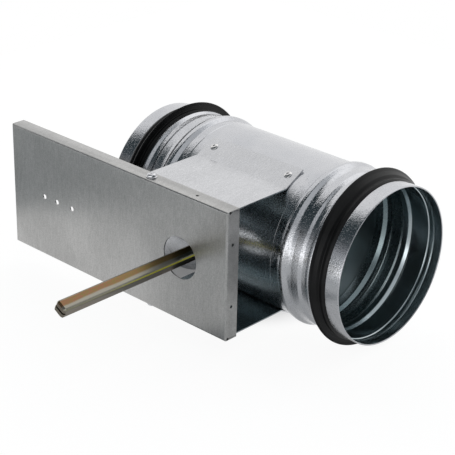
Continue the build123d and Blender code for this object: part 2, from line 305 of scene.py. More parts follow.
@dataclass(frozen=True)
class DullGalvanised(Finish):
    """Skin-passed galvanised sheet: satin grey with a fine straight grain, and, when a leg height is
    given, painted shade in a darker teal on the faces inside the legs.
    """

    zinc: Colour = (0.35, 0.348, 0.343)
    light_zinc: Colour = (0.57, 0.568, 0.56)
    roughness: float = 0.33
    uneven: float = 0.7
    grain: Grain = Grain.UPRIGHT
    grain_scale: float = 1500.0
    grain_depth: float = 0.01 * MM
    streak_scale: float = 260.0
    speck_scale: float = 1300.0
    patch_scale: float = 24.0
    # Painted shade: the darker teal zinc of the faces inside the legs, and the leg height and skin depths
    # that bound it
    painted_shade_zinc: Colour = (0.36, 0.43, 0.45)
    leg_height: float | None = None
    skin: Point = (0.7 * MM, 0.3 * MM)

    def sockets(self, graph: Graph) -> dict:
        """The value of each socket of the Principled shader."""
        place = graph.place()
        along = graph.scaled(place, self.grain.value)
        fine = graph.noise(along, self.grain_scale, 3.0, 0.6)
        broad = graph.noise(along, self.streak_scale, 2.0)
        patches = graph.noise(place, self.patch_scale, 3.0)
        specks = graph.noise(place, self.speck_scale, 1.0)
        streaks = (0.40 * graph.ramp(fine, 0.3, 0.7) + 0.10 * graph.ramp(broad, 0.3, 0.7)
                   + 0.50 * graph.ramp(specks, 0.35, 0.65)).clamped()
        tone = (0.84 * streaks + 0.16 * graph.ramp(patches, 0.35, 0.65)).clamped()
        rough = self.roughness + 0.1 * streaks - 0.05 * patches
        colour = graph.blend(tone, self.zinc, self.light_zinc)
        # Painted shade: faces inside the legs' outer skins take the darker teal zinc, standing in for the
        # shade inside the bracket
        if self.leg_height is not None:
            _, _, height = graph.parts(place)
            within, without = (self.leg_height - depth for depth in self.skin)
            outside = graph.ramp(abs(height), within, without)
            colour = graph.blend(outside, self.painted_shade_zinc, colour)
        return {"Base Color": colour, "Metallic": 1.0, "Roughness": rough,
                "Anisotropic": self.uneven, "Normal": graph.bump(fine, self.grain_depth)}


@dataclass(frozen=True)
class Mottled(Finish):
    """A plain finish: clouds in its colour and roughness, and a fine texture."""

    base: Colour
    cloud: Colour
    roughness: float
    cloud_roughness: float
    cloud_scale: float
    texture_depth: float
    texture_scale: float | None = None
    detail: float = 3.0
    edge: Point | None = None
    metallic: float = 1.0
    gloss: float = 0.5

    def sockets(self, graph: Graph) -> dict:
        """The value of each socket of the Principled shader."""
        place = graph.place()
        clouds = graph.noise(place, self.cloud_scale, self.detail)
        texture = graph.noise(place, self.texture_scale) if self.texture_scale else clouds
        share = graph.ramp(clouds, *self.edge) if self.edge else clouds
        return {"Base Color": graph.blend(share, self.base, self.cloud), "Metallic": self.metallic,
                "Roughness": self.roughness + self.cloud_roughness * clouds,
                "Specular IOR Level": self.gloss, "Normal": graph.bump(texture, self.texture_depth)}


@dataclass(frozen=True)
class YellowChromate(Finish):
    """Yellow chromate on a drawn square bar: amber to rose on top and brown sides; the grey bands on top
    are partly a painted highlight, and the lime edge line is a painted highlight.
    """

    olive: Colour = (0.19, 0.165, 0.06)
    # Grey is the chromate's own tone on the sides and partly a painted highlight in the bands on top
    grey_tone_and_highlight: Colour = (0.30, 0.285, 0.24)
    amber: Colour = (0.22, 0.145, 0.065)
    rose: Colour = (0.26, 0.125, 0.08)
    brown: Colour = (0.23, 0.19, 0.15)
    # Colour of the painted highlight along the top corner
    lime_highlight: Colour = (0.62, 0.60, 0.06)
    roughness: float = 0.24
    turn_deg: float = 30.0
    half_side: float = 5.0 * MM
    rose_from: float = -135.0 * MM
    rose_full: float = -185.0 * MM
    # Where the painted corner highlight reaches full strength along the bar
    lime_highlight_full: float = -130.0 * MM
    wander_scale: float = 160.0
    drift_scale: float = 45.0
    line_scale: float = 1400.0
    mottle_scale: float = 800.0
    mark_depth: float = 0.05 * MM

    def sockets(self, graph: Graph) -> dict:
        """The value of each socket of the Principled shader."""
        turn = (0.0, math.radians(self.turn_deg), 0.0)
        place = graph.put("ShaderNodeMapping", {"vector_type": "TEXTURE"},
                          {"Vector": graph.place(), "Rotation": turn})
        across, along, up = graph.parts(place)
        wander = graph.noise(graph.scaled(place, (1.0, 0.16, 1.0)), self.wander_scale, 3.0)
        drift = graph.noise(graph.scaled(place, (0.4, 1.0, 0.4)), self.drift_scale, 3.0)
        lines = graph.noise(graph.scaled(place, (1.0, 0.02, 1.0)), self.line_scale, 3.0)
        # Warm stripe across the top face, with grey bands beside it that are partly a painted highlight
        share = across / self.half_side + 0.45 * (wander - 0.5)
        band = graph.ramp(share, -0.86, -0.62) * graph.ramp(share, 0.34, 0.02)
        outer_end = graph.ramp(along, self.rose_from, self.rose_full)
        mottle = graph.noise(graph.scaled(place, (1.0, 0.35, 1.0)), self.mottle_scale, 3.0, 0.6)
        warm = graph.blend((outer_end * 0.7 + (drift - 0.5)).clamped(), self.amber, self.rose)
        warm = graph.blend(0.8 * graph.ramp(mottle, 0.42, 0.66), warm, self.olive)
        face = graph.blend(band, self.grey_tone_and_highlight, warm)
        top_face = graph.ramp(up, 0.55 * self.half_side, 0.85 * self.half_side)
        side = graph.blend(0.5 * graph.ramp(wander, 0.35, 0.65), self.brown, self.grey_tone_and_highlight)
        colour = graph.blend(top_face, side, face)
        # Painted highlight: a lime line along the top corner, full near the plate and a tenth as strong
        # at the outer end
        edge = (graph.ramp(across, 0.80 * self.half_side, 0.90 * self.half_side)
                * graph.ramp(up, 0.66 * self.half_side, 0.80 * self.half_side)
                * graph.ramp(along, self.rose_full, self.lime_highlight_full, 0.10, 1.0))
        return {"Base Color": graph.blend(edge, colour, self.lime_highlight), "Metallic": 1.0,
                "Roughness": self.roughness + 0.16 * lines,
                "Normal": graph.bump(0.7 * lines + 0.3 * wander, self.mark_depth)}


BLACK_RUBBER = Mottled(
    base=(0.003, 0.003, 0.0032), cloud=(0.008, 0.0082, 0.009), roughness=0.34, cloud_roughness=0.12,
    cloud_scale=60.0, edge=(0.4, 0.75), texture_scale=2600.0, texture_depth=0.012 * MM,
    metallic=0.0, gloss=0.24)
BRIGHT_ZINC = Mottled(
    base=(0.74, 0.74, 0.76), cloud=(0.52, 0.52, 0.54), roughness=0.16, cloud_roughness=0.14,
    cloud_scale=900.0, edge=(0.35, 0.75), texture_depth=0.01 * MM)
SPRING_STEEL = Mottled(
    base=(0.11, 0.11, 0.12), cloud=(0.20, 0.20, 0.21), roughness=0.42, cloud_roughness=0.15,
    cloud_scale=500.0, detail=4.0, texture_depth=0.02 * MM)
BEARING_PLASTIC = Mottled(
    base=(0.030, 0.031, 0.034), cloud=(0.052, 0.053, 0.057), roughness=0.46, cloud_roughness=0.12,
    cloud_scale=90.0, detail=2.0, texture_scale=1800.0, texture_depth=0.03 * MM, metallic=0.0)


# Modelling helpers


def deselect_all() -> None:
    """Leaves edit mode and deselects every object."""
    if bpy.context.mode != "OBJECT":
        bpy.ops.object.mode_set(mode="OBJECT")
    bpy.ops.object.select_all(action="DESELECT")


def pick(piece: bpy.types.Object) -> None:
    """Selects a piece alone and makes it the active one."""
    deselect_all()
    piece.select_set(True)
    bpy.context.view_layer.objects.active = piece


def pick_faces(piece: bpy.types.Object, wanted: Callable[[bmesh.types.BMFace], bool]) -> None:
    """Takes a piece to edit mode with some of its faces selected.

    Args:
        piece: the piece.
        wanted: whether a face is selected.
    """
    pick(piece)
    bpy.ops.object.mode_set(mode="EDIT")
    bpy.ops.mesh.select_mode(type="FACE")
    bpy.ops.mesh.select_all(action="DESELECT")
    mesh = bmesh.from_edit_mesh(piece.data)
    for face in mesh.faces:
        face.select = wanted(face)
    bmesh.update_edit_mesh(piece.data)


def settle() -> None:
    """Applies the active piece's place, turn and size to its mesh."""
    bpy.ops.object.transform_apply(location=True, rotation=True, scale=True)


def start_circle(name: str, segments: int, radius: float, fill: str, place: Sequence[float],
                 turn: Sequence[float] = (0, 0, 0)) -> bpy.types.Object:
    """Adds a circle and selects all of it in edit mode, ready to be extruded.

    Args:
        name: the piece's name.
        segments: its points.
        radius: its radius.
        fill: NOTHING for an open circle, or NGON for a disc.
        place: its centre.
        turn: its rotation.

    Returns:
        The circle.
    """
    deselect_all()
    bpy.ops.mesh.primitive_circle_add(vertices=segments, radius=radius, fill_type=fill,
                                      location=place, rotation=turn)
    piece = bpy.context.active_object
    piece.name = piece.data.name = name
    settle()
    bpy.ops.object.mode_set(mode="EDIT")
    bpy.ops.mesh.select_mode(type="EDGE" if fill == "NOTHING" else "FACE")
    bpy.ops.mesh.select_all(action="SELECT")
    return piece


def extrude(step: Sequence[float]) -> None:
    """Extrudes what is selected by a step."""
    bpy.ops.mesh.extrude_region_move(TRANSFORM_OT_translate={"value": tuple(step)})


def close_mesh(weld: bool = False) -> None:
    """Turns the normals outward and leaves edit mode, with the first and last ring welded if asked."""
    bpy.ops.mesh.select_all(action="SELECT")
    if weld:
        bpy.ops.mesh.remove_doubles(threshold=WELD)
    bpy.ops.mesh.normals_make_consistent(inside=False)
    bpy.ops.object.mode_set(mode="OBJECT")


def rounded_outline(corners: Sequence[tuple[float, float, float]],
                    step_deg: float = 9.0) -> list[Point]:
    """Rounds the corners of an outline.

    Args:
        corners: each corner's two coordinates and its rounding radius.
        step_deg: the largest turn between two points of an arc.

    Returns:
        The points of the rounded outline.
    """
    points: list[Point] = []
    for index, (a, b, radius) in enumerate(corners):
        here = Vector((a, b))
        if radius <= 0 or index in (0, len(corners) - 1):
            points.append((a, b))
            continue
        before = (Vector(corners[index - 1][:2]) - here).normalized()
        after = (Vector(corners[index + 1][:2]) - here).normalized()
        inside = before.angle(after)
        turn = math.pi - inside
        if turn < 1e-4:
            points.append((a, b))
            continue
        reach = radius * math.tan(turn / 2)
        start, end = here + before * reach, here + after * reach
        centre = here + (before + after).normalized() * (radius / math.sin(inside / 2))
        steps = max(2, math.ceil(math.degrees(turn) / step_deg))
        first, last = start - centre, end - centre
        sweep = first.angle_signed(last)
        for number in range(steps + 1):
            arm = first.copy()
            arm.rotate(Matrix.Rotation(-sweep * number / steps, 2))
            points.append(tuple(centre + arm))
    return points


def turned_ring_piece(name: str, outline: Sequence[Point], segments: int, closed: bool = False,
                      turns: Sequence[float] | None = None) -> bpy.types.Object:
    """Extrudes a circle about X along an outline.

    Args:
        name: the piece's name.
        outline: X and radius of each ring, in metres.
        segments: points of each ring.
        closed: whether the last ring joins the first.
        turns: how far each ring leans about Y, in radians; the first doesn't lean.

    Returns:
        The piece, in object mode, with its place in its mesh.
    """
    x, radius = outline[0]
    piece = start_circle(name, segments, radius, "NOTHING", (x, 0, 0), (0, math.pi / 2, 0))
    path = list(outline[1:]) + ([outline[0]] if closed else [])
    leans = list(turns or [0.0] * len(outline))
    lean = leans[0]
    for index, (next_x, next_radius) in enumerate(path, start=1):
        extrude((next_x - x, 0, 0))
        if abs(next_radius - radius) > SAME:
            ratio = next_radius / radius
            bpy.ops.transform.resize(value=(1, ratio, ratio))
        next_lean = leans[index % len(leans)]
        if abs(next_lean - lean) > SAME:
            bpy.ops.transform.rotate(value=next_lean - lean, orient_axis="Y", orient_type="GLOBAL",
                                     center_override=(next_x, 0, 0))
        x, radius, lean = next_x, next_radius, next_lean
    close_mesh(weld=closed)
    return piece


def turned_solid(name: str, outline: Sequence[Point], segments: int) -> bpy.types.Object:
    """Extrudes a circle up Z along an outline and closes both ends at the axis.

    Args:
        name: the piece's name.
        outline: radius and Z of each ring, from the lower end to the upper.
        segments: points of each ring.

    Returns:
        The piece, in object mode.
    """
    radius, z = outline[0]
    piece = start_circle(name, segments, radius, "NGON", (0, 0, z))
    for next_radius, next_z in outline[1:]:
        extrude((0, 0, next_z - z))
        if abs(next_radius - radius) > SAME:
            ratio = next_radius / radius
            bpy.ops.transform.resize(value=(ratio, ratio, 1))
        radius, z = next_radius, next_z
    close_mesh()
    return piece


def apply_modifier(piece: bpy.types.Object, kind: str, **settings: object) -> None:
    """Adds a modifier to a piece and applies it.

    Args:
        piece: the piece.
        kind: the modifier's type.
        settings: its settings.
    """
    pick(piece)
    modifier = piece.modifiers.new(kind.lower(), kind)
    for name, value in settings.items():
        setattr(modifier, name, value)
    bpy.ops.object.modifier_apply(modifier=modifier.name)


def smooth(piece: bpy.types.Object, degrees: float) -> None:
    """Shades a piece smooth, with the edges sharper than the angle left sharp."""
    pick(piece)
    bpy.ops.object.shade_smooth_by_angle(angle=math.radians(degrees))


def put_in_place(piece: bpy.types.Object, place: Matrix) -> None:
    """Moves a piece and applies the move, so that its object stays at the origin."""
    pick(piece)
    piece.matrix_world = place
    settle()


def join_pieces(piece: bpy.types.Object, others: Iterable[bpy.types.Object]) -> None:
    """Joins other pieces into a piece."""
    pick(piece)
    for other in others:
        other.select_set(True)
    bpy.ops.object.join()


def place_copies(pattern: bpy.types.Object, name: str, places: dict[str, Matrix]) -> dict:
    """Puts a copy of a pattern at each place and removes the pattern.

    Args:
        pattern: the finished pattern.
        name: what each copy's name begins with.
        places: where each copy goes, by the end of its name.

    Returns:
        The copies, by the end of their name.
    """
    copies = {}
    for ending, place in places.items():
        twin = pattern.copy()
        twin.data = pattern.data.copy()
        twin.name = twin.data.name = f"{name}_{ending}"
        bpy.context.scene.collection.objects.link(twin)
        put_in_place(twin, place)
        copies[ending] = twin
    bpy.data.objects.remove(pattern)
    return copies


def dress(piece: bpy.types.Object, material: bpy.types.Material) -> None:
    """Gives a piece one material."""
    piece.data.materials.clear()
    piece.data.materials.append(material)


def hand_over(piece: bpy.types.Object, node: str, body: str,
              material: bpy.types.Material) -> None:
    """Lets a finished piece stand for a CAD node.

    Args:
        piece: the finished piece.
        node: the node that it replaces.
        body: the body that it rides on.
        material: its finish.
    """
    dress(piece, material)
    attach(piece, body)
    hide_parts(node)
    LOG.info("%s: %d faces, stands for %s", piece.name, len(piece.data.polygons), node)


# Sub-assemblies


@dataclass
class DuctTube:
    """The rolled tube with its stop beads, grooves, gasket seats and folded rims, in millimetres."""

    radius: float = 62.2
    wall: float = 0.7
    half_length: float = 118.8
    hem_width: float = 12.3
    hem_thickness: float = 1.1
    crimp_offset: float = 8.4
    bead_foot: float = 61.2
    bead_height: float = 2.7
    groove_start: float = 80.3
    groove_depth: float = 1.3
    seat_start: float = 91.6
    seat_depth: float = 1.0
    bearing_hole: float = 10.4
    segments: int = 192
    crease_deg: float = 38.0

    def half_outline(self) -> list[Point]:
        """X and radius of the outside, from the duct's centre to just before the right rim."""
        r, foot, groove, seat = self.radius, self.bead_foot, self.groove_start, self.seat_start
        top, floor, low = r + self.bead_height, r - self.groove_depth, r - self.seat_depth
        seat_end = self.half_length - self.hem_width
        corners = [
            (12.5, r, 0), (foot - 7.6, r, 0.3), (foot - 7.0, r + 0.2, 0.3), (foot - 0.2, r + 0.25, 0.6),
            (foot + 2.8, top, 2.2), (foot + 6.2, top, 2.0), (foot + 9.5, r + 0.45, 4.4),
            (foot + 12.8, r, 4.0), (groove, r, 1.6), (groove + 2.55, floor, 1.6),
            (groove + 6.55, floor, 1.6), (groove + 9.1, r + 0.3, 0.9), (seat - 0.77, r + 0.3, 0.5),
            (seat, low, 0.3), (seat_end - 0.4, low, 0.4), (seat_end + 0.1, r, 0.3),
            (self.half_length - self.hem_thickness, r, 0),
        ]
        flat = [(float(x), r) for x in range(0, 12, 2)]
        return flat + rounded_outline(corners)

    def hem_outline(self) -> list[Point]:
        """X and radius of the rim's rolled end and of the layer folded back inside it, closed."""
        r, end, half = self.radius, self.half_length, self.hem_thickness / 2
        inside, skin = r - self.hem_thickness, r - self.wall - 0.02
        start, crimp = end - self.hem_width + 0.5, end - self.crimp_offset
        turns = [math.radians(degrees) for degrees in range(0, 181, 15)]
        roll = [(end - half + half * math.sin(a), r - half + half * math.cos(a)) for a in turns]
        layer = rounded_outline([(end - half, inside, 0), (crimp + 1.3, inside, 1.2),
                                 (crimp, inside - 0.45, 0.8), (crimp - 1.3, inside, 1.2),
                                 (start, inside, 0.2), (start, skin, 0.0), (end - 2.0, skin, 0)])
        return [(end - self.hem_thickness, r)] + roll + layer[1:] + [(end - self.hem_thickness, r - 0.3)]

    def build(self) -> bpy.types.Object:
        """Makes the tube.

        Returns:
            The tube with its wall and its folded rims, smooth over its beads.
        """
        half = self.half_outline()
        whole = [(-x, r) for x, r in reversed(half[1:])] + half
        piece = turned_ring_piece("duct_tube", [(x * MM, r * MM) for x, r in whole], self.segments)
        self._open_bearings(piece)
        apply_modifier(piece, "SOLIDIFY", thickness=self.wall * MM, offset=-1.0, use_even_offset=True)
        hems = []
        for side in Side:
            rings = [(side.value * x * MM, r * MM) for x, r in self.hem_outline()]
            hems.append(turned_ring_piece("folded_rim", rings, self.segments, closed=True))
        join_pieces(piece, hems)
        smooth(piece, self.crease_deg)
        return piece

    def shade_inside(self, piece: bpy.types.Object, mouth_shade: bpy.types.Material,
                    deep_shade: bpy.types.Material) -> None:
        """Gives the inner wall darker teal copies of the zinc, as painted shade.

        Args:
            piece: the finished tube.
            mouth_shade: the painted-shade material of the inner wall at the mouths, as far in as the
                grooves.
            deep_shade: the darker painted-shade material of the inner wall between the grooves.
        """
        piece.data.materials.append(mouth_shade)
        piece.data.materials.append(deep_shade)
        mouth = (self.half_length - self.hem_thickness) * MM
        groove = (self.groove_start + 1.0) * MM
        for face in piece.data.polygons:
            centre, normal = face.center, face.normal
            inward = centre.y * normal.y + centre.z * normal.z < 0.0
            if inward and abs(centre.x) < mouth:
                face.material_index = 2 if abs(centre.x) < groove else 1

    def _open_bearings(self, piece: bpy.types.Object) -> None:
        """Deletes the faces that lie within the two bearing housings."""
        limit = self.bearing_hole * MM
        pick_faces(piece, lambda face: all(math.hypot(v.co.x, v.co.z) < limit for v in face.verts))
        bpy.ops.mesh.delete(type="FACE")
        bpy.ops.object.mode_set(mode="OBJECT")


@dataclass
class SpigotGasket:
    """A rubber ring whose stepped lip leans further back at the top than below, in millimetres."""

    side: Side
    foot: float = 61.25
    top: float = 63.15
    lip_top: float = 68.7
    start: float = 92.0
    end: float = 106.4
    lean_deg: float = 3.3
    left_share: float = -0.4
    stiffness: float = 1.4
    segments: int = 160
    crease_deg: float = 40.0

    def outline(self) -> list[tuple[float, float, float]]:
        """X, radius and share of the lean of each ring of the closed outline."""
        corners = [
            (self.start, self.foot, 0), (self.end, self.foot, 0), (self.end, 62.25, 0.15),
            (104.4, 63.4, 0.7), (101.3, 62.75, 0.8), (100.3, 64.9, 0.9), (99.5, 65.4, 0.35),
            (97.9, 66.8, 1.6), (97.35, 68.55, 0.5), (96.95, 68.75, 0.3), (96.5, 68.4, 0.4),
            (96.2, 66.2, 1.5), (95.5, self.top, 0.7), (self.start + 1.4, self.top, 0.6),
            (self.start + 0.3, self.foot + 0.4, 0.3), (self.start, self.foot + 0.1, 0),
        ]
        rings = []
        for x, radius in rounded_outline(corners, step_deg=14.0):
            height = max(0.0, (radius - self.top) / (self.lip_top - self.top))
            rings.append((x, radius, height ** self.stiffness))
        return rings

    def build(self) -> bpy.types.Object:
        """Makes the ring on its side of the duct."""
        way, outline = self.side.value, self.outline()
        lean = math.radians(self.lean_deg if self.side is Side.RIGHT else self.left_share * self.lean_deg)
        rings = [(way * x * MM, r * MM) for x, r, _ in outline]
        turns = [lean * share for _, _, share in outline]
        piece = turned_ring_piece(f"gasket_ring_{self.side.name.lower()}", rings, self.segments,
                                  closed=True, turns=turns)
        smooth(piece, self.crease_deg)
        return piece


@dataclass
class SaddleRivets:
    """The four blind rivets that hold the bracket on the tube, in millimetres."""

    duct_radius: float = 62.2
    duct_wall: float = 0.7
    sheet: float = 1.0
    tab_angle_deg: float = 28.0
    along: float = 38.0
    behind: float = 2.0
    head: float = 3.2
    head_height: float = 1.1
    segments: int = 40
    crease_deg: float = 45.0

    def head_outline(self) -> list[Point]:
        """Radius and Z from the set bulb to the recess that the pin leaves."""
        grip = self.sheet + self.duct_wall
        return [(1.8, -grip - 2.2), (2.2, -grip - 1.7), (2.3, -grip - 1.1), (2.1, -grip - 0.4),
                (1.6, -grip), (1.6, 0.0), (3.1, 0.0), (self.head, 0.08), (self.head, 0.28),
                (3.05, 0.5), (2.7, 0.74), (2.2, 0.94), (1.7, 1.05), (1.35, self.head_height),
                (1.15, 1.07), (1.05, 0.95), (1.0, 0.6), (0.75, 0.52), (0.3, 0.62)]

    def places(self) -> dict[str, Matrix]:
        """Where each rivet sits, by the end of its node's name."""
        slope = math.radians(self.tab_angle_deg)
        touch = self.duct_radius + self.sheet
        y = -touch * math.sin(slope) + self.behind * math.cos(slope)
        z = touch * math.cos(slope) + self.behind * math.sin(slope)
        places = {}
        for side in Side:
            x, name = side.value * self.along, side.name.lower()
            places[f"upper_{name}"] = (Matrix.Translation(Vector((x, y, z)) * MM)
                                       @ Matrix.Rotation(slope, 4, "X"))
            places[f"lower_{name}"] = (Matrix.Translation(Vector((x, y, -z)) * MM)
                                       @ Matrix.Rotation(math.pi - slope, 4, "X"))
        return places

    def build(self) -> dict[str, bpy.types.Object]:
        """Makes one rivet and copies it to the four places.

        Returns:
            The rivets, by the end of their node's name.
        """
        outline = [(r * MM, z * MM) for r, z in self.head_outline()]
        pattern = turned_solid("saddle_rivet", outline, self.segments)
        smooth(pattern, self.crease_deg)
        return place_copies(pattern, "blind_rivet", self.places())


@dataclass
class PlateScrews:
    """The two pan-head sheet screws through the plate's flanges, in millimetres."""

    place: tuple[float, float, float] = (-36.3, -96.4, 52.1)
    shank: float = 1.9
    core: float = 1.45
    head: float = 4.2
    head_height: float = 3.2
    length: float = 9.0
    pitch: float = 1.0
    recess_span: float = 4.4
    recess_width: float = 1.0
    recess_depth: float = 1.6
    recess_taper: float = 0.55
    turn_deg: float = 35.0
    segments: int = 48
    crease_deg: float = 35.0

    def outline(self) -> list[Point]:
        """Radius and Z from the point to the crown of the head."""
        rings = [(0.15, -self.length), (0.8, -self.length + 1.1)]
        z = -self.length + 1.6
        while z < -0.9:
            rings += [(self.core, z), (self.shank, z + 0.42 * self.pitch),
                      (self.core, z + 0.6 * self.pitch)]
            z += self.pitch
        return rings + [(self.core, -0.35), (1.9, 0.0), (4.0, 0.0), (self.head, 0.12), (self.head, 0.6),
                        (4.05, 0.8), (3.65, 0.95), (3.62, 1.5), (3.5, 2.05), (3.2, 2.5),
                        (2.7, 2.85), (2.0, 3.08), (1.1, self.head_height)]

    def recess_cutter(self) -> bpy.types.Object:
        """A cross that narrows downwards, for the driver recess."""
        arms = []
        size = Vector((self.recess_span, self.recess_width, 2 * self.recess_depth)) * MM
        for turn in (0.0, math.pi / 2):
            deselect_all()
            bpy.ops.mesh.primitive_cube_add(size=1, location=(0, 0, self.head_height * MM),
                                            rotation=(0, 0, turn), scale=size)
            settle()
            arm = bpy.context.active_object
            self._narrow_foot(arm)
            arms.append(arm)
        apply_modifier(arms[0], "BOOLEAN", operation="UNION", object=arms[1], solver="EXACT")
        bpy.data.objects.remove(arms[1])
        return arms[0]

    def _narrow_foot(self, arm: bpy.types.Object) -> None:
        """Draws the lowest face of a cutter's arm in."""
        pick_faces(arm, lambda face: face.normal.z < -0.9)
        bpy.ops.transform.resize(value=(self.recess_taper, self.recess_taper, 1))
        bpy.ops.object.mode_set(mode="OBJECT")

    def build(self) -> dict[str, bpy.types.Object]:
        """Makes one screw and copies it to both flanges.

        Returns:
            The screws, by the end of their node's name.
        """
        outline = [(r * MM, z * MM) for r, z in self.outline()]
        pattern = turned_solid("plate_screw", outline, self.segments)
        cutter = self.recess_cutter()
        apply_modifier(pattern, "BOOLEAN", operation="DIFFERENCE", object=cutter, solver="EXACT")
        bpy.data.objects.remove(cutter)
        smooth(pattern, self.crease_deg)
        x, y, z = (value * MM for value in self.place)
        turn = Matrix.Rotation(math.radians(self.turn_deg), 4, "Z")
        places = {"upper": Matrix.Translation((x, y, z)) @ turn,
                  "lower": Matrix.Translation((x, y, -z)) @ Matrix.Rotation(math.pi, 4, "X") @ turn}
        return place_copies(pattern, "pan_head_screw", places)


@dataclass
class CarriedParts:
    """The CAD nodes that stay as they are and get a finish."""

    nodes: dict = field(default_factory=lambda: frame["nodes"])

    def finish(self, names: Iterable[str], material: bpy.types.Material) -> None:
        """Puts one material on some nodes."""
        for name in names:
            dress(self.nodes[name], material)
            LOG.info("%s: finished with %s", name, material.name)


# Studio


@dataclass(frozen=True)
class RoomTones:
    """The colours of the room around the object; stops run from straight down at 0 to up at 1."""

    front: Stops = (
        (0.0, (0.31, 0.31, 0.315)), (0.34, (0.55, 0.55, 0.55)), (0.40, (0.95, 0.95, 0.95)),
        (0.455, (0.95, 0.95, 0.95)), (0.51, (0.46, 0.465, 0.475)), (0.58, (0.31, 0.32, 0.33)),
        (0.64, (0.18, 0.185, 0.195)), (0.70, (0.065, 0.070, 0.075)),
        (0.77, (0.025, 0.033, 0.037)), (1.0, (0.008, 0.0145, 0.017)))
    front_gain: float = 2.0
    front_slope: float = 0.12
    rear: Stops = ((0.0, (0.62, 0.62, 0.63)), (0.45, (1.0, 1.0, 1.0)), (1.0, (1.0, 1.0, 1.0)))
    right: Stops = (
        (0.0, (0.25, 0.26, 0.27)), (0.42, (0.37, 0.38, 0.39)), (0.50, (0.20, 0.22, 0.24)),
        (0.56, (0.028, 0.045, 0.052)), (1.0, (0.014, 0.026, 0.031)))
    corner: Colour = (0.08, 0.10, 0.10)
    overhead: Colour = (0.60, 0.62, 0.64)
    back_slope: float = 0.63
    back_from: float = 0.24
    back_fade: float = 0.09


@dataclass(frozen=True)
class FloorTones:
    """The floor's own colours, and the painted pools of light and painted shadow that it shows only in
    the metal's reflections.
    """

    paint: Colour = (0.60, 0.63, 0.64)
    white: Colour = (0.9, 0.9, 0.9)
    glow: float = 1.08
    shadow_shift: float = 0.07
    shadow_reach: Point = (0.11, 0.07)
    # Glow shares of the painted pools of light, and how deep the painted shadow cuts into the pool
    everywhere: float = 0.06
    pool: float = 0.85
    pool_shadow_dip: float = 0.6
    beside: float = 0.42
    lit: float = 0.36
    beneath: float = 0.55
    beyond: float = 0.45


